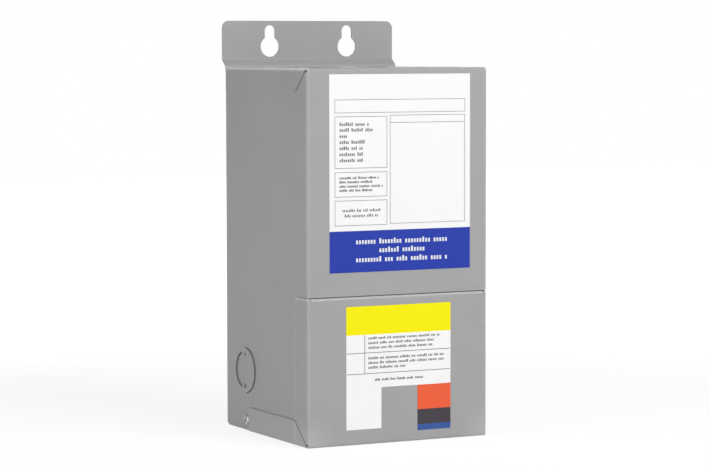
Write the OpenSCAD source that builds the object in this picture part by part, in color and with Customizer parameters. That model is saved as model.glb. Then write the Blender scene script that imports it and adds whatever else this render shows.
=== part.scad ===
// Small encapsulated buck-boost transformer in a wall-hung sheet steel housing.
// Origin at the bottom centre, front face towards -Y, wall face towards +Y, +Z up.
// Two folded covers, one over the top and upper front and one over the bottom and lower
// front, close round a back panel and two side panels. Sizes in millimetres.

/* [Housing] */
// Width across the folded covers
body_w = 120.2; // [105:1:160]
// Depth from the front face to the outer face of the back panel
body_d = 116; // [104:1:160]
// Height from the base to the top
body_h = 222; // [212:1:300]
// Thickness of the sheet steel
sheet_t = 0.9; // [0.7:0.1:1.4]
// Inside radius of each fold
fold_in_r = 0.4; // [0.2:0.1:1.2]

/* [Upper cover] */
// Height of the flap folded down over each side
top_flap_h = 13.8; // [9:0.1:20]
// Depth of the return folded back over each side
upper_return_d = 15; // [9:0.5:22]
// Distance from the back panel's outer face to the rear end of the flaps
top_flap_setback = 2.7; // [1.5:0.1:8]

/* [Lower cover] */
// Height of the lower cover
cover_h = 87.8; // [76:0.1:96]
// Gap between the lower cover and the upper cover
cover_gap = 0.4; // [0.3:0.1:1.5]
// Height of the flap folded up over each side
bottom_flap_h = 14.6; // [10:0.1:20]
// Depth of the return folded back over each side
lower_return_d = 17; // [9:0.5:22]
// Distance from the front face to the rear end of the bottom flaps
bottom_flap_end = 82; // [60:0.5:90]
// Depth of the lip folded inwards along the top edge
cover_lip_d = 5; // [3:0.5:12]
// Width of the notch at each end of the lip
lip_notch_w = 2.4; // [1.5:0.1:4]
// Depth of that notch
lip_notch_h = 2; // [1:0.1:4]

/* [Fold corners] */
// Width of the slit between a flap and the return beside it
mitre_gap = 0.8; // [0.4:0.1:1.5]
// Radius of the relief hole where two folds meet
relief_r = 1.1; // [0.8:0.1:1.6]

/* [Side panels] */
// Distance from the front face to the front edge of each side panel
side_setback = 4; // [3:0.5:8]

/* [Back panel] */
// Depth of the short returns at the rear corners
back_return_d = 3; // [2.5:0.5:8]
// Gap between a plate edge and the sheet beside it
edge_gap = 0.4; // [0.2:0.1:0.8]

/* [Wall flange] */
// Distance that the wall face stands behind the back panel
wall_offset = 4.7; // [4:0.1:10]
// Slope of the joggle away from vertical, in degrees
joggle_angle = 50; // [40:1:70]
// Inside radius of the two joggle bends
joggle_in_r = 1; // [0.5:0.1:1.5]
// Radius of the upper corners
flange_corner_r = 4.5; // [2:0.5:10]

/* [Keyholes] */
// Distance between the two keyholes
keyhole_spacing = 53.6; // [40:0.1:80]
// Diameter of the round entry that a screw head passes
keyhole_d = 12.7; // [10:0.1:14]
// Width of the slot that the screw shank rises into
keyhole_slot_w = 7; // [5:0.1:8]
// Distance from the entry's centre up to the slot's end centre
keyhole_slot_rise = 9.8; // [8:0.1:11]
// Distance from the joggle up to the entry's lower edge
keyhole_foot_gap = 0.9; // [0.5:0.1:6]
// Distance from the slot's upper end to the flange's upper edge
keyhole_top_gap = 2.7; // [2:0.1:12]

/* [Knockouts] */
// Diameter of the large conduit hole in each side panel
knockout_d = 28.2; // [27.8:0.1:36]
// Diameter of the small conduit hole inside its ring
knockout_inner_d = 22.2; // [16:0.1:22.8]
// Distance that the small hole's centre lies behind the large hole's centre
knockout_shift = 2; // [0:0.1:2.3]
// Distance from the back panel's outer face to the large hole's centre
knockout_inset = 28.5; // [20:0.1:36]
// Height of both holes' centres
knockout_z = 37; // [35:0.1:60]
// Sheared gap round the ring and round the disc
knockout_gap = 0.4; // [0.3:0.1:0.7]
// Width of the uncut ties that hold them
knockout_tie_w = 3.6; // [2:0.1:6]

/* [Cover screws] */
// Gap between the screw head and the rear end of the bottom flap
screw_head_gap = 0.3; // [0.2:0.1:1]
// Height of the screw's centre
screw_z = 6.8; // [6:0.1:8]
// Diameter of the screw head
screw_head_d = 6.2; // [5:0.1:9.6]
// Height of the screw head
screw_head_h = 1.3; // [1:0.1:3]
// Bevel round the head's outer edge
screw_head_edge = 0.5; // [0.2:0.1:0.8]
// Diameter of the shank
screw_shank_d = 4; // [3:0.1:5]
// Width of the driver slot
screw_slot_w = 1; // [0.8:0.1:1.5]
// Turn of the driver slot from upright, in degrees
screw_slot_turn = -40; // [-90:1:90]
// Width of the cover's inner tab round the screw
screw_tab_w = 10; // [8:0.5:14]

/* [Encapsulated core] */
// Distance from the upper cover's lower edge up to the block's underside
core_foot_gap = 3.6; // [1:0.1:30]
// Gap between the block and the underside of the top
core_top_gap = 3; // [1:0.5:20]

/* [Labels] */
// Thickness of the printed labels
label_t = 0.15; // [0.1:0.05:0.3]
// Width of the nameplate label
nameplate_w = 93.9; // [60:0.1:98]
// Height of the nameplate label, its band included
nameplate_h = 116.2; // [80:0.1:120]
// Height of the nameplate's coloured band
nameplate_band_h = 24.4; // [10:0.1:40]
// Distance of the nameplate's centre to the right of the middle
nameplate_x = 1.5; // [-5:0.1:5]
// Distance from the nameplate's upper edge to the top of the housing
nameplate_drop = 3.6; // [2:0.1:8]
// Width of the notice label
notice_w = 69.9; // [40:0.1:90]
// Height of the notice label, its header included
notice_h = 48.5; // [30:0.1:50]
// Height of the notice label's header
notice_header_h = 16.9; // [8:0.1:25]
// Distance of the notice label's centre to the right of the middle
notice_x = 0.3; // [-5:0.1:5]
// Distance from the notice label's upper edge to the cover's upper edge
notice_drop = 5.8; // [4:0.1:10]
// Width of the blank tag under the notice label's left corner
tag_w = 23.2; // [10:0.1:30]
// Height of the blank tag
tag_h = 24.4; // [10:0.1:28]
// Width of the three-coloured sticker under the notice label's right corner
sticker_w = 22.4; // [10:0.1:30]
// Heights of the sticker's upper, middle and lower fields
sticker_upper_h = 14.7; // [5:0.1:16]
sticker_middle_h = 9; // [4:0.1:10]
sticker_lower_h = 3.6; // [2:0.1:5]

/* [Hidden] */
$fn = 96;

LEFT = -1;
RIGHT = 1;
over = 1;                                     // how far a cutter runs past what it cuts
bend_steps = 8;                               // flats along each joggle bend

fold_r = sheet_t + fold_in_r;                 // outside radius of each fold
wall_y = (body_d + wall_offset) / 2;          // wall face of the flange
front_y = -wall_y;                            // front face of both covers
back_y = front_y + body_d;                    // outer face of the back panel
side_x = body_w / 2 - sheet_t;                // outer face of a side panel, inside the covers
side_in_x = side_x - sheet_t;                 // inner face of a side panel
plate_x = side_in_x - edge_gap;               // half width of the plates between the side panels
upper_z = cover_h + cover_gap;                // lower edge of the upper cover
knockout_y = body_d - knockout_inset;         // from the front face to the large hole's centre
screw_y = bottom_flap_end + screw_head_gap + screw_head_d / 2;
screw_top_d = screw_head_d - 2 * screw_head_edge;
tongue_end = screw_y + screw_tab_w / 2;       // rear end of the lower cover, from the front face
joggle_out_r = joggle_in_r + sheet_t;
joggle_slope = (wall_offset - (joggle_in_r + joggle_out_r) * (1 - cos(joggle_angle))) / sin(joggle_angle);
joggle_rise = (joggle_in_r + joggle_out_r) * sin(joggle_angle) + joggle_slope * cos(joggle_angle);
keyhole_z = body_h + joggle_rise + keyhole_foot_gap + keyhole_d / 2;
flange_top = keyhole_z + keyhole_slot_rise + keyhole_slot_w / 2 + keyhole_top_gap;
shank_gap = 0.2;                              // round the shank in the side panel
thread_gap = 0.05;                            // round the shank in the cover's tab
tie_gap = 0.1;                                // between a knockout's tie and the wall that it meets
shank_past = 2.5;                             // how far the screw's end stands past the tab

steel_grey = [0.62, 0.62, 0.62];
label_white = [0.95, 0.95, 0.95];

// ---------- outlines ----------

// Rectangle with the corner at the origin rounded
module soft_corner(w, h, r) {
    translate([r, 0]) square([w - r, h]);
    translate([0, r]) square([r, h - r]);
    translate([r, r]) circle(r);
}

// Rectangle centred on x = 0 with its two corners at y = 0 rounded
module soft_base(w, h, r) {
    for (s = [0, 1]) {
        mirror([s, 0]) translate([-w / 2, 0]) soft_corner(w / 2 + r, h, r);
    }
}

// Folded strip of sheet in an L, with its fold at the origin
module folded_strip(w, h) {
    difference() {
        soft_corner(w, h, fold_r);
        translate([sheet_t, sheet_t]) soft_corner(w, h, fold_in_r);
    }
}

// Extrudes an outline drawn in [y, z] along x, centred
module along_x(w) {
    rotate([90, 0, 90]) linear_extrude(w, center = true) children();
}

// Extrudes an outline drawn in [x, z] along y, from y = 0 to y = d
module along_y(d) {
    translate([0, d, 0]) rotate([90, 0, 0]) linear_extrude(d) children();
}

// Points on an arc, from angle a0 to angle a1
function arc_points(c, r, a0, a1) = [
    for (i = [0 : bend_steps])
        let (a = a0 + (a1 - a0) * i / bend_steps)
        [c[0] + r * cos(a), c[1] + r * sin(a)]
];

function reversed(list) = [for (i = [len(list) - 1 : -1 : 0]) list[i]];

// ---------- folded covers ----------

// Block whose front, bottom and side edges round the front and the base are rounded by r.
// Its front face is at y = 0 and its base at z = 0.
module tray_block(w, d, h, r) {
    intersection() {
        linear_extrude(h) soft_base(w, d, r);
        along_y(d) soft_base(w, h, r);
        along_x(w) soft_corner(d, h, r);
    }
}

// Front plate and base plate with side walls, open to the back and the top
module tray_shell(w, d, h) {
    difference() {
        tray_block(w, d, h, fold_r);
        translate([0, sheet_t, sheet_t])
            tray_block(w - 2 * sheet_t, d, h, fold_in_r);
    }
}

// Slit from the relief hole to the point where the flap's edge and the return's edge meet
module mitre_slit(return_d, flap_h) {
    run = [return_d, flap_h];
    length = norm(run);
    translate([fold_r, fold_r]) circle(relief_r);
    rotate(atan2(flap_h, return_d)) {
        translate([norm([fold_r, fold_r]), -mitre_gap / 2]) square([length, mitre_gap]);
    }
}

// What is cut from both side walls of a cover: the mitre slit, and all that lies behind
// the flap's rear end and further out than keep_x
module side_cuts(return_d, flap_h, flap_end, keep_x) {
    for (s = [LEFT, RIGHT]) {
        translate([s * (side_x + over), 0, 0])
            along_x(2 * over) mitre_slit(return_d, flap_h);
        translate([s * (keep_x + body_w / 2), flap_end + body_d / 2, 0])
            cube([body_w, body_d, 4 * flap_h], center = true);
    }
}

// Cover over the top and the upper front
module upper_cover() {
    color(steel_grey)
        translate([0, front_y, body_h])
            mirror([0, 0, 1])
                difference() {
                    tray_shell(body_w, body_d - sheet_t, body_h - upper_z);
                    translate([-body_w, upper_return_d, top_flap_h]) cube([2 * body_w, body_d, body_h]);
                    side_cuts(upper_return_d, top_flap_h, body_d - top_flap_setback, side_x);
                }
}

// Lip folded inwards along the lower cover's top edge
module cover_lip() {
    translate([0, 0, cover_h])
        mirror([0, 0, 1])
            along_x(2 * plate_x)
                intersection() {
                    folded_strip(body_d, body_d);
                    square([cover_lip_d, fold_r]);
                }
}

// Inner tab that the cover screw bites into
module screw_tab(s) {
    tab_top = screw_z + screw_tab_w / 2;
    difference() {
        translate([s * (side_in_x - sheet_t / 2), screw_y, tab_top / 2])
            cube([sheet_t, screw_tab_w, tab_top], center = true);
        translate([s * side_in_x, screw_y, screw_z])
            rotate([0, 90, 0])
                cylinder(h = 4 * sheet_t, r = screw_shank_d / 2 + thread_gap, center = true);
    }
}

// Cover over the bottom and the lower front
module lower_cover() {
    color(steel_grey)
        translate([0, front_y, 0]) {
            difference() {
                tray_shell(body_w, tongue_end, cover_h);
                translate([-body_w, lower_return_d, bottom_flap_h]) cube([2 * body_w, body_d, body_h]);
                side_cuts(lower_return_d, bottom_flap_h, bottom_flap_end, plate_x);
                translate([-plate_x, -over, cover_h - fold_r])
                    cube([2 * plate_x, body_d, body_h]);
                for (s = [LEFT, RIGHT]) {
                    translate([s * plate_x, -over, cover_h])
                        along_y(fold_r + 2 * over)
                            polygon([[-lip_notch_w / 2, over], [lip_notch_w / 2, over], [0, -lip_notch_h]]);
                }
            }
            cover_lip();
            for (s = [LEFT, RIGHT]) {
                screw_tab(s);
            }
        }
}

// ---------- inner housing ----------

// Flat side panel with its conduit hole and screw hole
module side_panel(s) {
    panel_d = body_d - side_setback - back_return_d;
    panel_h = body_h - 2 * fold_r;
    color(steel_grey)
        difference() {
            translate([s * (side_x - sheet_t / 2), front_y + side_setback + panel_d / 2, body_h / 2])
                cube([sheet_t, panel_d, panel_h], center = true);
            across_side(s, knockout_y, knockout_z)
                cylinder(h = 4 * sheet_t, d = knockout_d, center = true);
            across_side(s, screw_y, screw_z)
                cylinder(h = 4 * sheet_t, r = screw_shank_d / 2 + shank_gap, center = true);
        }
}

// Places a shape whose z axis points out of side s, at y from the front face and height z
module across_side(s, y, z) {
    translate([s * side_x, front_y + y, z]) rotate([0, s * 90, 0]) children();
}

// Outline in [y, z] of the joggle and the flange above it
module flange_outline() {
    a = joggle_angle;
    low = [back_y + joggle_in_r, body_h];
    high = [wall_y - joggle_out_r, body_h + joggle_rise];
    foot = body_h - fold_r;
    rear = concat([[back_y, foot]], arc_points(low, joggle_in_r, 180, 180 - a),
                  arc_points(high, joggle_out_r, -a, 0), [[wall_y, flange_top]]);
    front = concat([[back_y - sheet_t, foot]], arc_points(low, joggle_out_r, 180, 180 - a),
                   arc_points(high, joggle_in_r, -a, 0), [[wall_y - sheet_t, flange_top]]);
    polygon(concat(rear, reversed(front)));
}

// Round entry with a narrower slot rising from it, cut through along y
module keyhole() {
    rotate([90, 0, 0]) {
        cylinder(h = body_d, d = keyhole_d, center = true);
        translate([0, keyhole_slot_rise, 0]) cylinder(h = body_d, d = keyhole_slot_w, center = true);
        translate([0, keyhole_slot_rise / 2, 0])
            cube([keyhole_slot_w, keyhole_slot_rise, body_d], center = true);
    }
}

// Back panel with a bottom lip, rear corner folds and the joggled wall flange
module back_panel() {
    flange_w = 2 * side_x;
    color(steel_grey)
        difference() {
            union() {
                // upright plate with a short return at each rear corner
                translate([0, back_y, fold_r])
                    linear_extrude(body_h - 2 * fold_r)
                        mirror([0, 1])
                            difference() {
                                soft_base(flange_w, back_return_d, fold_r);
                                translate([0, sheet_t])
                                    soft_base(flange_w - 2 * sheet_t, back_return_d, fold_in_r);
                            }
                // bottom lip, folded forwards
                translate([0, back_y, 0])
                    mirror([0, 1, 0])
                        along_x(2 * plate_x)
                            intersection() {
                                folded_strip(body_d, body_h);
                                square([body_d - tongue_end - edge_gap, 2 * fold_r]);
                            }
                along_x(flange_w) flange_outline();
            }
            for (s = [LEFT, RIGHT]) {
                translate([s * keyhole_spacing / 2, wall_y, keyhole_z]) keyhole();
                flange_corner_cut(s);
            }
        }
}

// What rounds one upper corner of the flange
module flange_corner_cut(s) {
    r = flange_corner_r;
    translate([s * (side_x - r), front_y, flange_top - r])
        along_y(2 * body_d)
            difference() {
                translate([s < 0 ? -2 * r : 0, 0]) square(2 * r);
                circle(r);
            }
}

// Core and coil block cast into the upper part of the housing
module encapsulated_core() {
    core_z = upper_z + core_foot_gap;
    core_top = body_h - sheet_t - core_top_gap;
    color([0.16, 0.16, 0.17])
        translate([-side_in_x, front_y + sheet_t, core_z])
            cube([2 * side_in_x, body_d - sheet_t - fold_r, core_top - core_z]);
}

// ---------- small parts ----------

// Two uncut ties above and below a disc of radius r, as far as the wall of its hole
module knockout_ties(r) {
    intersection() {
        cylinder(h = 2 * sheet_t, r = r + knockout_gap - tie_gap, center = true);
        difference() {
            cube([4 * r, knockout_tie_w, 2 * sheet_t], center = true);
            cube([2 * r - knockout_tie_w, 2 * knockout_tie_w, 3 * sheet_t], center = true);
        }
    }
}

// Ring of a double knockout, pushed out by one sheet thickness
module knockout_ring(s) {
    ring_r = knockout_d / 2 - knockout_gap;
    color(steel_grey)
        across_side(s, knockout_y, knockout_z)
            difference() {
                union() {
                    cylinder(h = sheet_t, r = ring_r);
                    knockout_ties(ring_r);
                }
                translate([0, knockout_shift, 0])
                    cylinder(h = 4 * sheet_t, d = knockout_inner_d, center = true);
            }
}

// Disc inside the ring, flush with the side panel
module knockout_disc(s) {
    disc_r = knockout_inner_d / 2 - knockout_gap;
    color(steel_grey)
        across_side(s, knockout_y + knockout_shift, knockout_z) {
            translate([0, 0, -sheet_t]) cylinder(h = sheet_t, r = disc_r);
            knockout_ties(disc_r);
        }
}

// Slotted pan head screw through the side panel into the cover's tab
module cover_screw(s) {
    shank_l = 2 * sheet_t + shank_past;
    color([0.72, 0.72, 0.73])
        across_side(s, screw_y, screw_z)
            difference() {
                union() {
                    cylinder(h = screw_head_h - screw_head_edge, d = screw_head_d);
                    translate([0, 0, screw_head_h - screw_head_edge])
                        cylinder(h = screw_head_edge, d1 = screw_head_d, d2 = screw_top_d);
                    translate([0, 0, -shank_l]) cylinder(h = shank_l, d = screw_shank_d);
                }
                translate([0, 0, screw_head_h])
                    rotate(screw_slot_turn)
                        cube([2 * screw_head_d, screw_slot_w, screw_head_h], center = true);
            }
}

// ---------- labels ----------

// Thin printed field on the front, from its centre x, upper edge z, width and height
module label_field(x, top, w, h) {
    translate([x - w / 2, front_y - label_t, top - h]) cube([w, label_t, h]);
}

nameplate_top = body_h - nameplate_drop;
nameplate_sheet_h = nameplate_h - nameplate_band_h;
notice_top = cover_h - notice_drop;
notice_foot = notice_top - notice_h;
sticker_x = notice_x + (notice_w - sticker_w) / 2;
tag_x = notice_x - (notice_w - tag_w) / 2;

module nameplate_sheet() {
    color(label_white)
        label_field(nameplate_x, nameplate_top, nameplate_w, nameplate_sheet_h);
}

module nameplate_band() {
    color([0.13, 0.23, 0.66])
        label_field(nameplate_x, nameplate_top - nameplate_sheet_h, nameplate_w, nameplate_band_h);
}

module notice_header() {
    color([1, 0.92, 0.05]) label_field(notice_x, notice_top, notice_w, notice_header_h);
}

module notice_sheet() {
    color(label_white)
        label_field(notice_x, notice_top - notice_header_h, notice_w, notice_h - notice_header_h);
}

module blank_tag() {
    color(label_white) label_field(tag_x, notice_foot, tag_w, tag_h);
}

module sticker_upper_field() {
    color([0.95, 0.38, 0.24]) label_field(sticker_x, notice_foot, sticker_w, sticker_upper_h);
}

module sticker_middle_field() {
    color([0.27, 0.25, 0.28])
        label_field(sticker_x, notice_foot - sticker_upper_h, sticker_w, sticker_middle_h);
}

module sticker_lower_field() {
    color([0.22, 0.35, 0.62])
        label_field(sticker_x, notice_foot - sticker_upper_h - sticker_middle_h, sticker_w, sticker_lower_h);
}

back_panel();
side_panel(LEFT);  // left_side_panel
side_panel(RIGHT);  // right_side_panel
upper_cover();
lower_cover();
encapsulated_core();
knockout_ring(LEFT);  // left_knockout_ring
knockout_ring(RIGHT);  // right_knockout_ring
knockout_disc(LEFT);  // left_knockout_disc
knockout_disc(RIGHT);  // right_knockout_disc
cover_screw(LEFT);  // left_cover_screw
cover_screw(RIGHT);  // right_cover_screw
nameplate_sheet();
nameplate_band();
notice_header();
notice_sheet();
blank_tag();
sticker_upper_field();
sticker_middle_field();
sticker_lower_field();
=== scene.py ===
"""Looks of a small wall-hung buck-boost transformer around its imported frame.

The sheet steel housing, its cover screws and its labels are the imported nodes
with procedural finishes. This script adds the printed lines and frames of the
labels, the spot weld marks of the folded flaps, the studio and the camera.
Lengths are in metres in the row frame: +X to the right as seen from the front,
-Y out of the labelled front, +Z up, and the floor at zero.
"""

import logging
import math
import random
from dataclasses import dataclass, field
from enum import Enum
from typing import Any

import bpy
from mathutils import Euler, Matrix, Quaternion, Vector

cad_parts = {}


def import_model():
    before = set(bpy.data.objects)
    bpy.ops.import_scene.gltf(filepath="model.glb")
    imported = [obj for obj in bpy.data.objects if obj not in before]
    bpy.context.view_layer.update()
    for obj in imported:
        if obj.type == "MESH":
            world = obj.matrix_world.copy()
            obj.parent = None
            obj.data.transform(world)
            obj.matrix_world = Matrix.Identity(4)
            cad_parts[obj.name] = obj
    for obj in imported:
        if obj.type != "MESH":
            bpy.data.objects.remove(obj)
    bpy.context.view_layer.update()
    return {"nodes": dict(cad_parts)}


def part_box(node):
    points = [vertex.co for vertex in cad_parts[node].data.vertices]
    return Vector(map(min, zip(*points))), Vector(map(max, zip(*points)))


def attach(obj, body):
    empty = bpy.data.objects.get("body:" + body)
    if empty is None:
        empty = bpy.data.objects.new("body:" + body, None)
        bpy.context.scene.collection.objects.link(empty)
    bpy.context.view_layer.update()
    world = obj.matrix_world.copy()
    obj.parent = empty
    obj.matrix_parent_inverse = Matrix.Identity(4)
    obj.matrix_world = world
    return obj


log = logging.getLogger("transformer")

MM = 0.001
BODY = "root"

Point = tuple[float, float, float]
Colour = tuple[float, float, float]
Span = tuple[float, float]


class Side(Enum):
    """The two sides of the housing, as signs along X."""

    LEFT = -1.0
    RIGHT = 1.0


class Ink(Enum):
    """Printing inks of the labels, as linear colours."""

    GREY = (0.17, 0.17, 0.18)
    DARK = (0.045, 0.045, 0.05)
    WHITE = (0.84, 0.85, 0.88)


# ---------------------------------------------------------------- shader maths


class Bench:
    """Adds nodes to one material or world tree."""

    def __init__(self, tree: bpy.types.NodeTree) -> None:
        """Empties the tree, so that it holds only what is added here."""
        self.tree = tree
        tree.nodes.clear()

    def add(self, kind: str, settings: dict[str, Any] | None = None,
            sockets: dict[str | int, Any] | None = None) -> bpy.types.Node:
        """Adds a node, sets its settings and then its sockets.

        Args:
            kind: The node's type name.
            settings: Attributes set first. "stops" gives a colour ramp's stops.
            sockets: Input values or links, by name or index.

        Returns:
            The new node.
        """
        node = self.tree.nodes.new(kind)
        for name, value in (settings or {}).items():
            if name == "stops":
                self._set_stops(node.color_ramp, value)
            else:
                setattr(node, name, value)
        for key, value in (sockets or {}).items():
            self.feed(node.inputs[key], value)
        return node

    def feed(self, socket: bpy.types.NodeSocket, value: Any) -> None:
        """Links a Signal or an output socket to a socket, or sets its value.

        Args:
            socket: The input socket.
            value: A signal, an output socket or a plain value.
        """
        if isinstance(value, Signal):
            self.tree.links.new(value.socket, socket)
        elif isinstance(value, bpy.types.NodeSocket):
            self.tree.links.new(value, socket)
        else:
            socket.default_value = value

    def signal(self, node: bpy.types.Node, output: str | int = 0) -> "Signal":
        """Wraps one output of a node."""
        return Signal(self, node.outputs[output])

    @staticmethod
    def _set_stops(ramp: bpy.types.ColorRamp,
                   stops: list[tuple[float, float]]) -> None:
        """Gives a ramp grey stops.

        Args:
            ramp: The ramp, which starts with two stops.
            stops: Each stop's position and level.
        """
        while len(ramp.elements) < len(stops):
            ramp.elements.new(1.0)
        for element, (place, level) in zip(ramp.elements, stops):
            element.position = place
            element.color = (level, level, level, 1.0)


class Signal:
    """A value socket that takes part in Python arithmetic."""

    def __init__(self, bench: Bench, socket: bpy.types.NodeSocket) -> None:
        """Keeps the bench that new maths nodes go to, and the socket."""
        self.bench = bench
        self.socket = socket

    def _maths(self, operation: str, *values: Any) -> "Signal":
        """Adds one Math node over the given values."""
        node = self.bench.add("ShaderNodeMath", {"operation": operation},
                              dict(enumerate(values)))
        return self.bench.signal(node)

    def __add__(self, other: Any) -> "Signal":
        """Adds a value or a signal."""
        return self._maths("ADD", self, other)

    def __radd__(self, other: Any) -> "Signal":
        """Adds this signal to a value."""
        return self._maths("ADD", other, self)

    def __sub__(self, other: Any) -> "Signal":
        """Takes a value or a signal away."""
        return self._maths("SUBTRACT", self, other)

    def __rsub__(self, other: Any) -> "Signal":
        """Takes this signal away from a value."""
        return self._maths("SUBTRACT", other, self)

    def __mul__(self, other: Any) -> "Signal":
        """Multiplies by a value or a signal."""
        return self._maths("MULTIPLY", self, other)

    def __rmul__(self, other: Any) -> "Signal":
        """Multiplies a value by this signal."""
        return self._maths("MULTIPLY", other, self)

    def __truediv__(self, other: Any) -> "Signal":
        """Divides by a value or a signal."""
        return self._maths("DIVIDE", self, other)

    def __rtruediv__(self, other: Any) -> "Signal":
        """Divides a value by this signal."""
        return self._maths("DIVIDE", other, self)

    def largest(self, other: Any) -> "Signal":
        """Takes the larger of two values."""
        return self._maths("MAXIMUM", self, other)

    def distance_from(self, centre: float) -> "Signal":
        """Gives how far the value lies from a centre."""
        return self._maths("ABSOLUTE", self - centre)

    def ramp(self, stops: list[tuple[float, float]]) -> "Signal":
        """Maps the value from 0 to 1 through levels at given places."""
        node = self.bench.add("ShaderNodeValToRGB", {"stops": stops}, {0: self})
        return self.bench.signal(node)


class Pattern:
    """Object coordinates of a piece, and the noises that read them."""

    def __init__(self, bench: Bench) -> None:
        """Adds the coordinate node once.

        Args:
            bench: Where the coordinate node and the noises go.
        """
        self.bench = bench
        node = bench.add("ShaderNodeTexCoord")
        self.place = node.outputs["Object"]

    def axis(self, name: str) -> Signal:
        """Gives one coordinate, X, Y or Z, in metres."""
        node = self.bench.add("ShaderNodeSeparateXYZ", None, {0: self.place})
        return self.bench.signal(node, name)

    def noise(self, grain: float, detail: float = 3.0, rough: float = 0.5,
              stretch: Point = (1.0, 1.0, 1.0)) -> Signal:
        """Gives a noise from 0 to 1 whose lumps have a real size.

        Args:
            grain: Size of a lump in metres.
            detail: Octaves of finer lumps.
            rough: Weight of each finer octave.
            stretch: Factors on the three coordinates.

        Returns:
            The noise as a signal.
        """
        mapped = self.bench.add("ShaderNodeMapping", None,
                                {"Vector": self.place, "Scale": stretch})
        node = self.bench.add(
            "ShaderNodeTexNoise", None,
            {"Vector": mapped.outputs[0], "Scale": 1.0 / grain,
             "Detail": detail, "Roughness": rough})
        return self.bench.signal(node, 0)


def blended(bench: Bench, amount: Signal, low: Colour | bpy.types.NodeSocket,
            high: Colour | bpy.types.NodeSocket) -> bpy.types.NodeSocket:
    """Blends two colours by a signal.

    Args:
        bench: Where the node goes.
        amount: Blend from 0 to 1.
        low: Colour, or a colour's socket, at 0.
        high: Colour, or a colour's socket, at 1.

    Returns:
        The blended colour's socket.
    """
    ends = [end if isinstance(end, bpy.types.NodeSocket) else (*end, 1.0)
            for end in (low, high)]
    node = bench.add("ShaderNodeMix", {"data_type": "RGBA"},
                     {0: amount, 6: ends[0], 7: ends[1]})
    return node.outputs[2]


def scaled(colour: Colour, factor: float) -> Colour:
    """Makes a colour lighter or darker by one factor."""
    return tuple(min(channel * factor, 1.0) for channel in colour)


def new_material(name: str) -> tuple[bpy.types.Material, Bench, bpy.types.Node]:
    """Makes a material with one Principled shader.

    Args:
        name: The material's name.

    Returns:
        The material, its bench and the shader node.
    """
    material = bpy.data.materials.new(name)
    material.use_nodes = True
    bench = Bench(material.node_tree)
    shader = bench.add("ShaderNodeBsdfPrincipled")
    bench.add("ShaderNodeOutputMaterial", None, {"Surface": shader.outputs[0]})
    return material, bench, shader


# -------------------------------------------------------------------- finishes


@dataclass(frozen=True)
class PaintedLightAndScuffEdge:
    """An edge painted lighter: a painted highlight on a fold, painted bounce light low on a
    flap, and along some edges partly real scuffs.

    Attributes:
        planes: Axis and place of each plane that the edge lies on. X counts
            on both sides of the housing.
        reach: How far the lighter tone spreads from the edge.
        strength: How light it gets, from 0 to 1.
        patchy: How much of it is broken into patches, from 0 to 1.
    """

    planes: tuple[tuple[str, float], ...]
    reach: float
    strength: float
    patchy: float = 0.0

    def mask(self, pattern: Pattern, patches: Signal) -> Signal:
        """Gives the edge's painted lightness over the surface.

        Args:
            pattern: The piece's coordinates.
            patches: A noise that breaks the edge up.

        Returns:
            The mask, from 0 to the edge's strength.
        """
        mask = patches * self.patchy + (1.0 - self.patchy)
        for axis, place in self.planes:
            away = pattern.axis(axis)
            if axis == "X":
                away = away.distance_from(0.0)
            away = away.distance_from(place) / self.reach
            mask = mask * away.ramp([(0.25, 1.0), (1.0, 0.0)])
        return mask * self.strength


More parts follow.
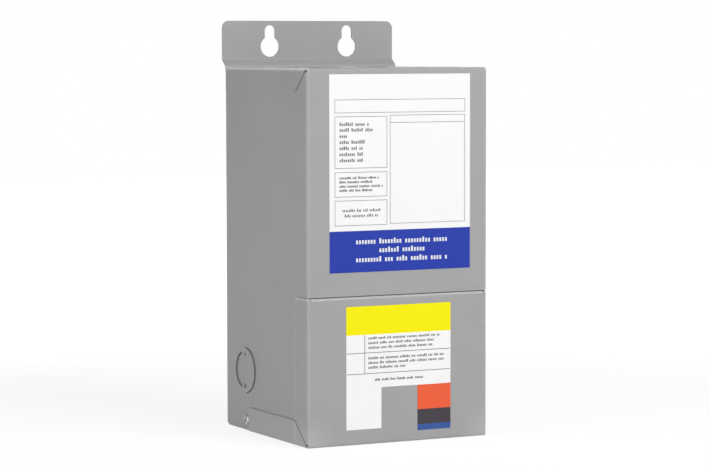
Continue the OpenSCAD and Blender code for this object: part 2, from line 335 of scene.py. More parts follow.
@dataclass(frozen=True)
class PowderCoat:
    """Smooth satin grey powder coat on sheet steel."""

    name: str = "housing_powder_coat"
    colour: Colour = (0.350, 0.351, 0.354)
    roughness: float = 0.44
    specular: float = 0.42
    cloud_grain: float = 46 * MM
    speckle_grain: float = 0.9 * MM
    touch_grain: float = 17 * MM
    patch_grain: float = 5 * MM
    peel_grain: float = 1.1 * MM
    peel_depth: float = 0.014 * MM
    mottle: float = 0.035
    # How much lighter the painted edge light and scuffs make the coat colour.
    painted_edge_lightness: float = 2.3
    edges: tuple[PaintedLightAndScuffEdge, ...] = ()

    def material(self) -> bpy.types.Material:
        """Builds the coat: cloudy tone, handling marks, painted edge light, orange peel.

        Returns:
            The coat's material.
        """
        made, bench, shader = new_material(self.name)
        pattern = Pattern(bench)
        clouds = pattern.noise(self.cloud_grain, 2.0, 0.55)
        speckle = pattern.noise(self.speckle_grain, 2.0, 0.7)
        touched = pattern.noise(self.touch_grain, 4.0, 0.62, (1.0, 1.0, 0.45))
        tone = (clouds * 0.62 + speckle * 0.38).ramp([(0.30, 0.0), (0.70, 1.0)])
        body = blended(bench, tone, scaled(self.colour, 1.0 - self.mottle),
                       scaled(self.colour, 1.0 + self.mottle))
        # Painted light: edges painted lighter stand in for fold highlights and floor bounce
        # light, and in patches for scuffs.
        if self.edges:
            body = self._paint_edge_light(bench, pattern, body)
        bench.feed(shader.inputs["Base Color"], body)
        handled = touched.ramp([(0.52, 0.0), (0.74, 1.0)])
        bench.feed(shader.inputs["Roughness"],
                   self.roughness + speckle * 0.07 - handled * 0.08)
        peel = pattern.noise(self.peel_grain, 2.0, 0.5)
        bump = bench.add("ShaderNodeBump", None,
                         {"Strength": 1.0, "Distance": self.peel_depth,
                          "Height": peel + speckle * 0.35})
        bench.feed(shader.inputs["Normal"], bump.outputs[0])
        bench.feed(shader.inputs["Specular IOR Level"], self.specular)
        return made

    def _paint_edge_light(self, bench: Bench, pattern: Pattern,
                       body: bpy.types.NodeSocket) -> bpy.types.NodeSocket:
        """Blends the painted edge highlights, bounce light and scuffs over the body colour.

        Args:
            bench: Where the nodes go.
            pattern: The piece's coordinates.
            body: The coat's colour without its painted edge light.

        Returns:
            The blended colour's socket.
        """
        patches = pattern.noise(self.patch_grain, 3.0, 0.65)
        patches = patches.ramp([(0.46, 0.0), (0.60, 1.0)])
        masks = [edge.mask(pattern, patches) for edge in self.edges]
        painted_light_and_scuffs = masks[0]
        for mask in masks[1:]:
            painted_light_and_scuffs = painted_light_and_scuffs.largest(mask)
        return blended(bench, painted_light_and_scuffs, body, scaled(self.colour, self.painted_edge_lightness))


@dataclass(frozen=True)
class CoatedSteel:
    """Zinc coated steel of the cover screws, turned and lightly scuffed."""

    name: str = "screw_coated_steel"
    colour: Colour = (0.47, 0.47, 0.46)
    roughness: float = 0.36
    metallic: float = 0.75
    patch_grain: float = 1.6 * MM
    scratch_grain: float = 0.35 * MM
    scratch_depth: float = 0.01 * MM

    def material(self) -> bpy.types.Material:
        """Builds the coating: dull patches and fine turning scratches.

        Returns:
            The coating's material.
        """
        made, bench, shader = new_material(self.name)
        pattern = Pattern(bench)
        patches = pattern.noise(self.patch_grain, 3.0, 0.6)
        scratches = pattern.noise(self.scratch_grain, 2.0, 0.7, (0.3, 1.0, 1.0))
        tone = patches.ramp([(0.32, 0.0), (0.68, 1.0)])
        bench.feed(shader.inputs["Base Color"],
                   blended(bench, tone, scaled(self.colour, 0.82),
                           scaled(self.colour, 1.12)))
        bench.feed(shader.inputs["Roughness"], self.roughness + patches * 0.16)
        bench.feed(shader.inputs["Metallic"], self.metallic - tone * 0.15)
        bump = bench.add("ShaderNodeBump", None,
                         {"Strength": 0.6, "Distance": self.scratch_depth,
                          "Height": scratches})
        bench.feed(shader.inputs["Normal"], bump.outputs[0])
        return made


@dataclass(frozen=True)
class CastingResin:
    """Matt dark resin cast round the core and the windings."""

    name: str = "core_casting_resin"
    colour: Colour = (0.030, 0.030, 0.034)
    roughness: float = 0.72
    filler_grain: float = 0.8 * MM
    bubble_size: float = 3.5 * MM
    relief: float = 0.1 * MM

    def material(self) -> bpy.types.Material:
        """Builds the resin: sandy filler, dusty tone and small bubbles.

        Returns:
            The resin's material.
        """
        made, bench, shader = new_material(self.name)
        pattern = Pattern(bench)
        filler = pattern.noise(self.filler_grain, 4.0, 0.7)
        bubbles = pattern.noise(self.bubble_size, 2.0, 0.5)
        bench.feed(shader.inputs["Base Color"],
                   blended(bench, filler.ramp([(0.35, 0.0), (0.70, 1.0)]),
                           scaled(self.colour, 0.75), scaled(self.colour, 1.6)))
        bench.feed(shader.inputs["Roughness"], self.roughness + filler * 0.15)
        bump = bench.add("ShaderNodeBump", None,
                         {"Strength": 0.8, "Distance": self.relief,
                          "Height": filler * 0.4 + bubbles * 0.6})
        bench.feed(shader.inputs["Normal"], bump.outputs[0])
        return made


@dataclass(frozen=True)
class LabelFilm:
    """Printed self-adhesive label film of one ground colour."""

    name: str
    colour: Colour
    roughness: float = 0.38
    variation: float = 0.02
    gloss: float = 0.2
    print_grain: float = 0.5 * MM
    wave_length: float = 20 * MM
    wave_depth: float = 0.02 * MM

    def material(self) -> bpy.types.Material:
        """Builds the film: even ground, slight print grain, lying almost flat.

        Returns:
            The film's material.
        """
        made, bench, shader = new_material(self.name)
        pattern = Pattern(bench)
        grain = pattern.noise(self.print_grain, 2.0, 0.6)
        waves = pattern.noise(self.wave_length, 2.0, 0.5)
        bench.feed(shader.inputs["Base Color"],
                   blended(bench, grain * 0.5 + waves * 0.5,
                           scaled(self.colour, 1.0 - self.variation),
                           scaled(self.colour, 1.0 + self.variation)))
        bench.feed(shader.inputs["Roughness"], self.roughness + grain * 0.06)
        bump = bench.add("ShaderNodeBump", None,
                         {"Strength": 0.5, "Distance": self.wave_depth,
                          "Height": waves + grain * 0.1})
        bench.feed(shader.inputs["Normal"], bump.outputs[0])
        bench.feed(shader.inputs["Specular IOR Level"], self.gloss)
        return made


@dataclass(frozen=True)
class PrintInk:
    """Ink of printed lines, a little uneven where it is thin."""

    ink: Ink
    roughness: float = 0.42
    cover_grain: float = 0.45 * MM

    def material(self) -> bpy.types.Material:
        """Builds the ink with faint gaps in its cover.

        Returns:
            The ink's material.
        """
        made, bench, shader = new_material(f"print_ink_{self.ink.name.lower()}")
        pattern = Pattern(bench)
        cover = pattern.noise(self.cover_grain, 2.0, 0.6)
        bench.feed(shader.inputs["Base Color"],
                   blended(bench, cover.ramp([(0.30, 0.0), (0.72, 1.0)]),
                           scaled(self.ink.value, 0.92),
                           scaled(self.ink.value, 1.10)))
        bench.feed(shader.inputs["Roughness"], self.roughness + cover * 0.10)
        return made


# ------------------------------------------------------------- geometry trees


class Tree:
    """A Geometry Nodes tree with named inputs, built in the script."""

    def __init__(self, name: str, inputs: dict[str, tuple[str, Any]]) -> None:
        """Makes the tree and its interface.

        Args:
            name: The tree's name.
            inputs: Each input's socket type and default, by name.
        """
        self.group = bpy.data.node_groups.new(name, "GeometryNodeTree")
        face = self.group.interface
        face.new_socket("Geometry", in_out="INPUT", socket_type="NodeSocketGeometry")
        face.new_socket("Geometry", in_out="OUTPUT", socket_type="NodeSocketGeometry")
        for label, (kind, default) in inputs.items():
            socket = face.new_socket(label, in_out="INPUT", socket_type=kind)
            if default is not None:
                socket.default_value = default
        self.entry = self.group.nodes.new("NodeGroupInput")
        self.exit = self.group.nodes.new("NodeGroupOutput")

    def add(self, kind: str, settings: dict[str, Any] | None = None,
            sockets: dict[str | int, Any] | None = None) -> bpy.types.Node:
        """Adds a node, sets its settings and then its sockets.

        Args:
            kind: The node's type name.
            settings: Attributes set first.
            sockets: Input values or links, by name or index.

        Returns:
            The new node.
        """
        node = self.group.nodes.new(kind)
        for name, value in (settings or {}).items():
            setattr(node, name, value)
        for key, value in (sockets or {}).items():
            if isinstance(value, bpy.types.NodeSocket):
                self.group.links.new(value, node.inputs[key])
            else:
                node.inputs[key].default_value = value
        return node

    def given(self, label: str) -> bpy.types.NodeSocket:
        """Gives one of the tree's own inputs as a socket to link from."""
        return self.entry.outputs[label]

    def end(self, geometry: bpy.types.NodeSocket, material: str) -> None:
        """Closes the tree: real geometry with its material, and an output.

        Args:
            geometry: What the tree has made.
            material: Name of the input that holds the material.
        """
        real = self.add("GeometryNodeRealizeInstances", None, {0: geometry})
        dressed = self.add("GeometryNodeSetMaterial", None,
                           {"Geometry": real.outputs[0],
                            "Material": self.given(material)})
        self.group.links.new(dressed.outputs[0], self.exit.inputs[0])

    def grow(self, name: str, seed_mesh: bpy.types.Mesh,
             values: dict[str, Any]) -> bpy.types.Object:
        """Runs the tree on a mesh and returns a plain mesh object.

        Args:
            name: Name of the finished piece.
            seed_mesh: Points or edges that the tree starts from.
            values: The inputs' values, by name.

        Returns:
            The finished object at the origin, with no modifier.
        """
        holder = bpy.data.objects.new(f"{name}_seed", seed_mesh)
        bpy.context.scene.collection.objects.link(holder)
        modifier = holder.modifiers.new("grow", "NODES")
        modifier.node_group = self.group
        for item in self.group.interface.items_tree:
            if item.in_out == "INPUT" and item.name in values:
                modifier[item.identifier] = values[item.name]
        graph = bpy.context.evaluated_depsgraph_get()
        mesh = bpy.data.meshes.new_from_object(
            holder.evaluated_get(graph), depsgraph=graph)
        mesh.name = name
        holder.modifiers.remove(modifier)
        bpy.data.objects.remove(holder)
        piece = bpy.data.objects.new(name, mesh)
        bpy.context.scene.collection.objects.link(piece)
        return piece


def print_tree() -> Tree:
    """Builds the tree that turns edges on a label into flat printed strokes.

    Returns:
        The tree. Each edge of the seed mesh becomes one stroke.
    """
    tree = Tree("printed_strokes", {
        "Stroke Width": ("NodeSocketFloat", 0.3 * MM),
        "Ink Thickness": ("NodeSocketFloat", 0.02 * MM),
        "Ink": ("NodeSocketMaterial", None)})
    paths = tree.add("GeometryNodeMeshToCurve", None, {0: tree.given("Geometry")})
    facing = tree.add("GeometryNodeSetCurveNormal", {"mode": "FREE"},
                      {"Curve": paths.outputs[0], "Normal": (0.0, -1.0, 0.0)})
    section = tree.add("GeometryNodeCurvePrimitiveQuadrilateral", None,
                       {"Width": tree.given("Ink Thickness"),
                        "Height": tree.given("Stroke Width")})
    strokes = tree.add("GeometryNodeCurveToMesh", None,
                       {"Curve": facing.outputs[0],
                        "Profile Curve": section.outputs[0], "Fill Caps": True})
    tree.end(strokes.outputs[0], "Ink")
    return tree


def weld_tree() -> Tree:
    """Builds the tree that puts a pressed weld mark on each point.

    A mark is a low raised rim round a slightly crowned middle. Its axis is X.

    Returns:
        The tree. Each point of the seed mesh becomes one mark.
    """
    tree = Tree("weld_marks", {
        "Mark Radius": ("NodeSocketFloat", 2.0 * MM),
        "Rim Radius": ("NodeSocketFloat", 0.5 * MM),
        "Rim Height": ("NodeSocketFloat", 0.14 * MM),
        "Crown Flatness": ("NodeSocketFloat", 0.028),
        "Coat": ("NodeSocketMaterial", None)})
    around, across, crown_rings = 40, 14, 16
    circle = tree.add("GeometryNodeCurvePrimitiveCircle", None,
                      {"Resolution": around, "Radius": tree.given("Mark Radius")})
    bead = tree.add("GeometryNodeCurvePrimitiveCircle", None,
                    {"Resolution": across, "Radius": tree.given("Rim Radius")})
    rim = tree.add("GeometryNodeCurveToMesh", None,
                   {"Curve": circle.outputs[0], "Profile Curve": bead.outputs[0]})
    flatness = tree.add("ShaderNodeMath", {"operation": "DIVIDE"},
                        {0: tree.given("Rim Height"), 1: tree.given("Rim Radius")})
    squeeze = tree.add("ShaderNodeCombineXYZ", None,
                       {"X": 1.0, "Y": 1.0, "Z": flatness.outputs[0]})
    low_rim = tree.add("GeometryNodeTransform", None,
                       {"Geometry": rim.outputs[0], "Scale": squeeze.outputs[0]})
    crown = tree.add("GeometryNodeMeshUVSphere", None,
                     {"Segments": around, "Rings": crown_rings,
                      "Radius": tree.given("Mark Radius")})
    crown_scale = tree.add("ShaderNodeCombineXYZ", None,
                           {"X": 1.0, "Y": 1.0,
                            "Z": tree.given("Crown Flatness")})
    low_crown = tree.add("GeometryNodeTransform", None,
                         {"Geometry": crown.outputs["Mesh"],
                          "Scale": crown_scale.outputs[0]})
    mark = tree.add("GeometryNodeJoinGeometry", None, None)
    for part in (low_rim, low_crown):
        tree.group.links.new(part.outputs[0], mark.inputs[0])
    smooth = tree.add("GeometryNodeSetShadeSmooth", None,
                      {"Geometry": mark.outputs[0]})
    placed = tree.add("GeometryNodeInstanceOnPoints", None,
                      {"Points": tree.given("Geometry"),
                       "Instance": smooth.outputs[0],
                       "Rotation": (0.0, math.pi / 2, 0.0)})
    tree.end(placed.outputs[0], "Coat")
    return tree


# ------------------------------------------------------------- sub-assemblies


@dataclass
class Workshop:
    """What every sub-assembly shares: the frame's nodes, trees and inks."""

    nodes: dict[str, bpy.types.Object]
    strokes: Tree
    welds: Tree
    inks: dict[Ink, bpy.types.Material]

    def dress(self, node: str, material: bpy.types.Material) -> None:
        """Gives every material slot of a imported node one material.

        Args:
            node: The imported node's name.
            material: Its finish.
        """
        for slot in self.nodes[node].material_slots:
            slot.material = material
        log.info("dressed %s with %s", node, material.name)

    def keep(self, piece: bpy.types.Object, slot: str) -> None:
        """Fixes a finished piece to the body.

        Args:
            piece: The piece, with its place in its mesh.
            slot: The record's material slot that it belongs to. Not used.
        """
        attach(piece, BODY)
        log.info("made %s: %d faces", piece.name, len(piece.data.polygons))


@dataclass
class Housing:
    """The painted sheet steel, the knockouts, the screws and the core."""

    shop: Workshop
    coat: PowderCoat = PowderCoat()
    steel: CoatedSteel = CoatedSteel()
    resin: CastingResin = CastingResin()
    mark_radius: float = 1.9 * MM
    rim_radius: float = 0.55 * MM
    rim_height: float = 0.13 * MM
    marks: tuple[Span, ...] = ((63.3, 214.6), (27.3, 215.0), (8.0, 204.75))
    painted: tuple[str, ...] = (
        "back_panel", "left_side_panel", "right_side_panel",
        "left_knockout_ring", "right_knockout_ring",
        "left_knockout_disc", "right_knockout_disc")
    fold_reach: float = 1.9 * MM
    # Height of the painted bounce light at the foot of the side flaps.
    bounce_light_reach: float = 18.0 * MM
    return_depth: float = 17.0 * MM
    screws: tuple[str, ...] = ("left_cover_screw", "right_cover_screw")

    def build(self) -> None:
        """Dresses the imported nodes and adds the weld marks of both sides."""
        paint = self.coat.material()
        for node in self.painted:
            self.shop.dress(node, paint)
        self._dress_covers()
        metal = self.steel.material()
        for node in self.screws:
            self.shop.dress(node, metal)
        self.shop.dress("encapsulated_core", self.resin.material())
        for side in Side:
            self._weld_marks(side, paint)

    def _dress_covers(self) -> None:
        """Coats both covers, with painted highlights on the folds and painted bounce light
        low on the flaps.
        """
        low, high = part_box("upper_cover")
        side, front, top = ("X", high.x), ("Y", low.y), ("Z", high.z)
        reach = self.fold_reach
        # Painted highlight, faint, along the upright front folds.
        upright = PaintedLightAndScuffEdge((side, front), 1.4 * reach, strength=0.08)
        # Painted highlight along the top folds, strong at the sides and faint at the front.
        self.shop.dress("upper_cover", PowderCoat(
            "upper_cover_powder_coat", edges=(
                upright, PaintedLightAndScuffEdge((side, top), reach, strength=1.0, patchy=0.15),
                PaintedLightAndScuffEdge((front, top), reach, strength=0.05))).material())
        low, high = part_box("lower_cover")
        brim, base = ("Z", high.z), ("Z", low.z)
        rear = ("Y", low.y + self.return_depth)
        # Painted highlight along the brim folds, partly in patches; painted bounce light
        # from the floor low on the side flaps; patches at the rear of the returns that are
        # partly scuffs and partly painted highlight.
        self.shop.dress("lower_cover", PowderCoat(
            "lower_cover_powder_coat", edges=(
                upright, PaintedLightAndScuffEdge((front, brim), reach, strength=0.45, patchy=0.2),
                PaintedLightAndScuffEdge((side, brim), reach, strength=0.5, patchy=0.5),
                PaintedLightAndScuffEdge((side, rear), 0.6 * reach, strength=0.45, patchy=0.95),
                PaintedLightAndScuffEdge((side, base), self.bounce_light_reach, strength=0.14))).material())

    def _weld_marks(self, side: Side, paint: bpy.types.Material) -> None:
        """Puts the weld marks on one side's flaps.

        Args:
            side: Which side of the housing.
            paint: The housing's coat, which covers the marks too.
        """
        low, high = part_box("upper_cover")
        wall = low.x if side is Side.LEFT else high.x
        mesh = bpy.data.meshes.new("weld_points")
        mesh.from_pydata(
            [(wall, low.y + y * MM, z * MM) for y, z in self.marks], [], [])
        piece = self.shop.welds.grow(
            f"{side.name.lower()}_weld_marks", mesh,
            {"Mark Radius": self.mark_radius, "Rim Radius": self.rim_radius,
             "Rim Height": self.rim_height, "Coat": paint})
        self.shop.keep(piece, "housing_paint")


@dataclass(frozen=True)
class PrintSize:
    """Size of one kind of print, in millimetres.

    Attributes:
        height: Height of the tallest blocks.
        stroke: Width of each block.
    """

    height: float
    stroke: float


@dataclass
class PrintedSheet:
    """Printing on one label: strokes gathered by ink and width.

    X is in millimetres from the sheet's left edge, and Z from the floor.
    """

    shop: Workshop
    name: str
    slot: str
    sheet: str
    thickness: float = 0.03 * MM
    pitch: float = 0.62
    low_block: float = 0.72
    longest_group: int = 9
    edges: list[tuple[Span, Span]] = field(default_factory=list)

    def rule(self, start: Span, end: Span) -> None:
        """Adds one straight stroke between two points, in millimetres."""
        self.edges.append((start, end))

    def frame(self, x: Span, z: Span, stroke: float) -> None:
        """Adds a rectangle of four strokes that meet at the corners.

        Args:
            x: Left and right sides, in millimetres.
            z: Lower and upper sides, in millimetres.
            stroke: Width of the strokes, in millimetres.
        """
        half = stroke / 2
        for height in z:
            self.rule((x[0] - half, height), (x[1] + half, height))
        for place in x:
            self.rule((place, z[0] + half), (place, z[1] - half))

    def words(self, x: Span, z: float, height: float, seed: int) -> None:
        """Adds one line of small blocks, grouped and spaced as print is.

        Args:
            x: Start and end of the line, in millimetres.
            z: Middle of the line's height.
            height: Height of the tallest blocks, which also sets their pitch.
            seed: Seed of the groups' lengths and the blocks' heights.
        """
        dice = random.Random(seed)
        heights = (self.low_block,) * 3 + (1.0,)
        pitch = self.pitch * height
        left = dice.randint(4, self.longest_group)
        place = x[0] + pitch / 2
        foot = z - height / 2
        while place < x[1]:
            if left == 0:
                left = dice.randint(3, self.longest_group)
            else:
                tall = height * dice.choice(heights)
                self.rule((place, foot), (place, foot + tall))
                left -= 1
            place += pitch

    def finish(self, stroke: float, ink: Ink) -> None:
        """Grows the strokes into one piece on the label.

        Args:
            stroke: Width of the strokes, in millimetres.
            ink: The ink that they are printed in.
        """
        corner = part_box(self.sheet)[0]
        depth = corner.y - self.thickness / 2
        points: list[Point] = []
        for edge in self.edges:
            points += [(corner.x + x * MM, depth, z * MM) for x, z in edge]
        pairs = [(i, i + 1) for i in range(0, len(points), 2)]
        mesh = bpy.data.meshes.new(f"{self.name}_lines")
        mesh.from_pydata(points, pairs, [])
        piece = self.shop.strokes.grow(
            self.name, mesh,
            {"Stroke Width": stroke * MM, "Ink Thickness": self.thickness,
             "Ink": self.shop.inks[ink]})
        self.shop.keep(piece, self.slot)


@dataclass
class Nameplate:
    """The large label of the upper cover, with its coloured band."""

    shop: Workshop
    white: LabelFilm = LabelFilm("label_film_white", (0.92, 0.92, 0.92), variation=0.01)
    blue: LabelFilm = LabelFilm("label_film_blue", (0.017, 0.044, 0.385), 0.34, 0.05)
    rule_width: float = 0.3
    frames: tuple[tuple[Span, Span], ...] = (
        ((3.55, 90.35), (195.9, 203.45)), ((3.55, 37.8), (163.5, 193.6)),
        ((3.55, 37.8), (146.7, 161.0)), ((3.55, 37.8), (129.85, 144.4)),
        ((39.95, 90.25), (130.3, 194.1)))
    heading_rule: float = 189.8
    data_lines: tuple[tuple[float, float], ...] = (
        (189.2, 25.25), (185.9, 28.15), (182.3, 12.65), (178.8, 22.85),
        (175.2, 21.35), (171.7, 21.85), (168.1, 21.35))
    small_lines: tuple[tuple[float, float], ...] = (
        (157.8, 32.75), (155.4, 27.85), (152.9, 34.95), (150.5, 29.05))
    centred_lines: tuple[tuple[float, Span], ...] = (
        (138.7, (8.25, 33.05)), (135.6, (9.65, 31.45)))
    band_lines: tuple[tuple[float, Span], ...] = (
        (120.3, (16.95, 78.85)), (115.1, (32.45, 63.55)), (109.7, (16.95, 78.85)))
    text_start: float = 6.35
    data_print: PrintSize = PrintSize(2.1, 0.75)
    small_print: PrintSize = PrintSize(1.4, 0.6)
    centred_print: PrintSize = PrintSize(1.7, 0.6)
    band_print: PrintSize = PrintSize(3.1, 1.25)
    small_seed: int = 20
    centred_seed: int = 30
    band_seed: int = 40

    def build(self) -> None:
        """Dresses the sheet and the band and prints their lines."""
        self.shop.dress("nameplate_sheet", self.white.material())
        self.shop.dress("nameplate_band", self.blue.material())
        self._print_frames("nameplate_sheet")
        self._print_lines("nameplate_sheet")
        band = PrintedSheet(self.shop, "nameplate_band_lines", "label_blue",
                            "nameplate_band")
        for seed, (z, span) in enumerate(self.band_lines, self.band_seed):
            band.words(span, z, self.band_print.height, seed)
        band.finish(self.band_print.stroke, Ink.WHITE)

    def _print_frames(self, sheet: str) -> None:
        """Prints the frames and the rule under the table's heading.

        Args:
            sheet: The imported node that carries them.
        """
        boxes = PrintedSheet(self.shop, "nameplate_frames", "label_white", sheet)
        for x, z in self.frames:
            boxes.frame(x, z, self.rule_width)
        left, right = self.frames[-1][0]
        boxes.rule((left, self.heading_rule), (right, self.heading_rule))
        boxes.finish(self.rule_width, Ink.GREY)

    def _print_lines(self, sheet: str) -> None:
        """Prints the data lines and the small lines.

        Args:
            sheet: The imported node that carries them.
        """
        data = PrintedSheet(self.shop, "nameplate_data_lines", "label_white", sheet)
        for seed, (z, end) in enumerate(self.data_lines):
            data.words((self.text_start, end), z, self.data_print.height, seed)
        data.finish(self.data_print.stroke, Ink.DARK)
        small = PrintedSheet(self.shop, "nameplate_small_lines", "label_white", sheet)
        for seed, (z, end) in enumerate(self.small_lines, self.small_seed):
            small.words((self.text_start, end), z, self.small_print.height, seed)
        for seed, (z, span) in enumerate(self.centred_lines, self.centred_seed):
            small.words(span, z, self.centred_print.height, seed)
        small.finish(self.small_print.stroke, Ink.DARK)


@dataclass
class Notice:
    """The lower label with its coloured header, the tag and the sticker."""

    shop: Workshop
    white: LabelFilm = LabelFilm("notice_film_white", (0.93, 0.93, 0.93), variation=0.01)
    yellow: LabelFilm = LabelFilm("label_film_yellow", (0.95, 0.86, 0.005), 0.40, 0.02, 0.08)
    orange: LabelFilm = LabelFilm("sticker_film_orange", (0.86, 0.118, 0.045), 0.36, 0.03)
    dark: LabelFilm = LabelFilm("sticker_film_dark", (0.055, 0.048, 0.058), 0.36, 0.06)
    blue: LabelFilm = LabelFilm("sticker_film_blue", (0.04, 0.10, 0.34), 0.36, 0.05)
    rule_width: float = 0.35
    cross_rules: tuple[float, ...] = (54.3, 42.0)
    cell_edge: float = 12.15
    body_lines: tuple[tuple[float, float], ...] = (
        (63.0, 62.65), (60.2, 58.25), (57.4, 57.75),
        (51.2, 65.25), (48.4, 65.25), (45.6, 39.55))
    body_start: float = 14.35
    foot_line: tuple[float, Span] = (38.2, (18.75, 51.15))
    rule_inset: float = 0.4
    cell_gap: float = 0.2
    body_print: PrintSize = PrintSize(1.55, 0.6)
    foot_print: PrintSize = PrintSize(1.5, 0.6)
    body_seed: int = 60
    foot_seed: int = 70

    def build(self) -> None:
        """Dresses the fields and prints rules and lines on the white sheet."""
        white = self.white.material()
        self.shop.dress("notice_sheet", white)
        self.shop.dress("blank_tag", white)
        self.shop.dress("notice_header", self.yellow.material())
        self.shop.dress("sticker_upper_field", self.orange.material())
        self.shop.dress("sticker_middle_field", self.dark.material())
        self.shop.dress("sticker_lower_field", self.blue.material())
        self._print_rules("notice_sheet")
        self._print_lines("notice_sheet")

    def _print_rules(self, sheet: str) -> None:
        """Prints the cross rules and the upright edge of the left cells.

        Args:
            sheet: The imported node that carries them.
        """
        low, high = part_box(sheet)
        width, top = (high.x - low.x) / MM, high.z / MM
        rules = PrintedSheet(self.shop, "notice_rules", "label_white", sheet)
        for z in self.cross_rules:
            rules.rule((self.rule_inset, z), (width - self.rule_inset, z))
        rules.rule((self.cell_edge, self.cross_rules[-1]),
                   (self.cell_edge, top - self.cell_gap))
        rules.finish(self.rule_width, Ink.DARK)

    def _print_lines(self, sheet: str) -> None:
        """Prints the body lines and the line at the foot.

        Args:
            sheet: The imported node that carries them.
        """
        lines = PrintedSheet(self.shop, "notice_lines", "label_white", sheet)
        for seed, (z, end) in enumerate(self.body_lines, self.body_seed):
            lines.words((self.body_start, end), z, self.body_print.height, seed)
        z, span = self.foot_line
        lines.words(span, z, self.foot_print.height, self.foot_seed)
        lines.finish(self.body_print.stroke, Ink.DARK)


@dataclass(frozen=True)
class Lamp:
    """One soft square lamp.

    Attributes:
        name: The lamp's name.
        place: Where it hangs.
        size: Length of its sides.
        power: Its power in watts.
    """

    name: str
    place: Point
    size: float
    power: float

    def hang(self, aim: Point) -> None:
        """Adds the lamp to the scene, turned towards a point.

        Args:
            aim: The point that it lights.
        """
        data = bpy.data.lights.new(self.name, "AREA")
        data.shape = "SQUARE"
        data.size = self.size
        data.energy = self.power
        lamp = bpy.data.objects.new(self.name, data)
        lamp.location = self.place
        turn = (Vector(aim) - Vector(self.place)).to_track_quat("-Z", "Y")
        lamp.rotation_euler = turn.to_euler()
        bpy.context.scene.collection.objects.link(lamp)


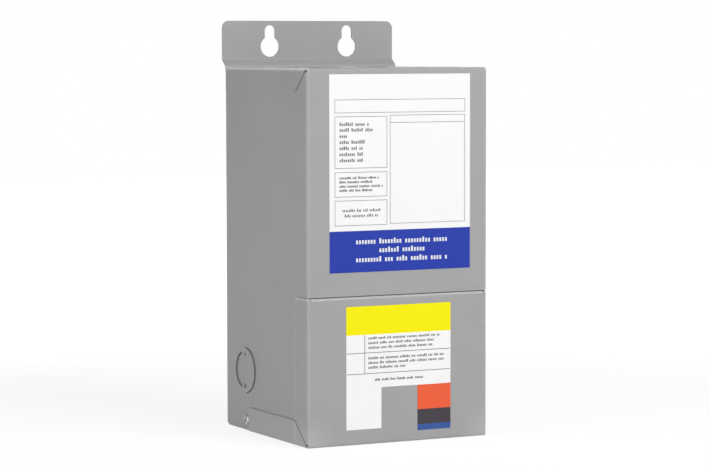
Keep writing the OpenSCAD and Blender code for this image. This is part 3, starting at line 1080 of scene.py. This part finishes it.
@dataclass
class Studio:
    """Pale floor, soft lights, white surroundings and the camera."""

    eye: Point = (-0.7461, -1.4627, 0.2347)
    azimuth: float = 27.08
    downward: float = 4.00
    roll: float = -0.10
    lens: float = 136.77
    sensor: float = 36.0
    clip: Span = (0.05, 30.0)
    floor_size: float = 6.0
    floor_gap: float = 0.2 * MM
    floor_colour: Colour = (0.90, 0.90, 0.90)
    floor_glow: float = 0.72
    floor_white: float = 1.14
    shadow_reach: Span = (0.10, 0.55)
    world_strength: float = 0.15
    rear_shade: float = 1.0
    aim: Point = (0.0, 0.0, 0.12)
    lamps: tuple[Lamp, ...] = (
        Lamp("key", (0.75, -1.9, 1.15), 1.3, 34.3),
        Lamp("fill", (-1.9, -0.5, 0.5), 1.4, 19.8),
        Lamp("overhead", (-0.1, 0.1, 1.9), 0.8, 2.6),
        Lamp("rear", (0.6, 1.8, 0.5), 1.2, 12.0))

    def build(self) -> None:
        """Sets up the whole studio."""
        self._camera()
        self._floor()
        self._world()
        for lamp in self.lamps:
            lamp.hang(self.aim)
        bpy.context.scene.view_settings.view_transform = "Standard"

    def _camera(self) -> None:
        """Places the camera and makes it the scene's own."""
        data = bpy.data.cameras.new("camera")
        data.lens = self.lens
        data.sensor_width = self.sensor
        data.clip_start, data.clip_end = self.clip
        camera = bpy.data.objects.new("camera", data)
        camera.location = self.eye
        turn = Euler((math.radians(90.0 - self.downward), 0.0,
                      -math.radians(self.azimuth))).to_quaternion()
        camera.rotation_mode = "QUATERNION"
        camera.rotation_quaternion = turn @ Quaternion(
            (0.0, 0.0, 1.0), math.radians(self.roll))
        bpy.context.scene.collection.objects.link(camera)
        bpy.context.scene.camera = camera

    def _floor(self) -> None:
        """Lays the pale floor, which glows towards the camera and keeps shadow."""
        half = self.floor_size / 2
        mesh = bpy.data.meshes.new("floor")
        drop = -self.floor_gap
        mesh.from_pydata([(-half, -half, drop), (half, -half, drop),
                          (half, half, drop), (-half, half, drop)], [], [(0, 1, 2, 3)])
        floor = bpy.data.objects.new("floor", mesh)
        bpy.context.scene.collection.objects.link(floor)
        material = bpy.data.materials.new("pale_floor")
        material.use_nodes = True
        bench = Bench(material.node_tree)
        matt = bench.add("ShaderNodeBsdfDiffuse", None,
                         {"Color": (*self.floor_colour, 1.0)})
        glow = bench.add("ShaderNodeEmission", None, {"Strength": self.floor_white})
        pattern = Pattern(bench)
        x, y = pattern.axis("X"), pattern.axis("Y")
        near, far = self.shadow_reach
        away = (x * x + y * y).ramp([(near, self.floor_glow), (far, 1.0)])
        blend = bench.add("ShaderNodeMixShader", None,
                          {0: self._seen(bench) * away,
                           1: matt.outputs[0], 2: glow.outputs[0]})
        bench.add("ShaderNodeOutputMaterial", None, {"Surface": blend.outputs[0]})
        mesh.materials.append(material)

    def _world(self) -> None:
        """Gives soft even light, white to the camera and dim behind in gloss."""
        world = bpy.data.worlds.new("studio")
        bpy.context.scene.world = world
        world.use_nodes = True
        bench = Bench(world.node_tree)
        light = bench.add("ShaderNodeBackground", None,
                          {"Color": (1.0, 1.0, 1.0, 1.0),
                           "Strength": self.world_strength})
        behind = Pattern(bench).axis("Y").ramp([(0.0, 0.0), (0.3, 1.0)])
        path = bench.add("ShaderNodeLightPath")
        white = (1.0 - behind * self.rear_shade).largest(
            bench.signal(path, "Is Camera Ray"))
        backdrop = bench.add("ShaderNodeBackground", None,
                             {"Color": (1.0, 1.0, 1.0, 1.0), "Strength": 1.0})
        blend = bench.add("ShaderNodeMixShader", None,
                          {0: self._seen(bench) * white, 1: light.outputs[0],
                           2: backdrop.outputs[0]})
        bench.add("ShaderNodeOutputWorld", None, {"Surface": blend.outputs[0]})

    @staticmethod
    def _seen(bench: Bench) -> Signal:
        """Gives 1 for camera, glossy and transmission rays, and 0 otherwise.

        Args:
            bench: Where the nodes go.

        Returns:
            The signal.
        """
        path = bench.add("ShaderNodeLightPath")
        seen = bench.signal(path, "Is Camera Ray")
        for ray in ("Is Glossy Ray", "Is Transmission Ray"):
            seen = seen.largest(bench.signal(path, ray))
        return seen


def main() -> None:
    """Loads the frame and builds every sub-assembly."""
    logging.basicConfig(level=logging.INFO, format="%(message)s")
    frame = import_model()
    Studio().build()
    shop = Workshop(frame["nodes"], print_tree(), weld_tree(),
                    {ink: PrintInk(ink).material() for ink in Ink})
    for assembly in (Housing, Nameplate, Notice):
        assembly(shop).build()
        log.info("finished %s", assembly.__name__)


if __name__ == "__main__":
    main()
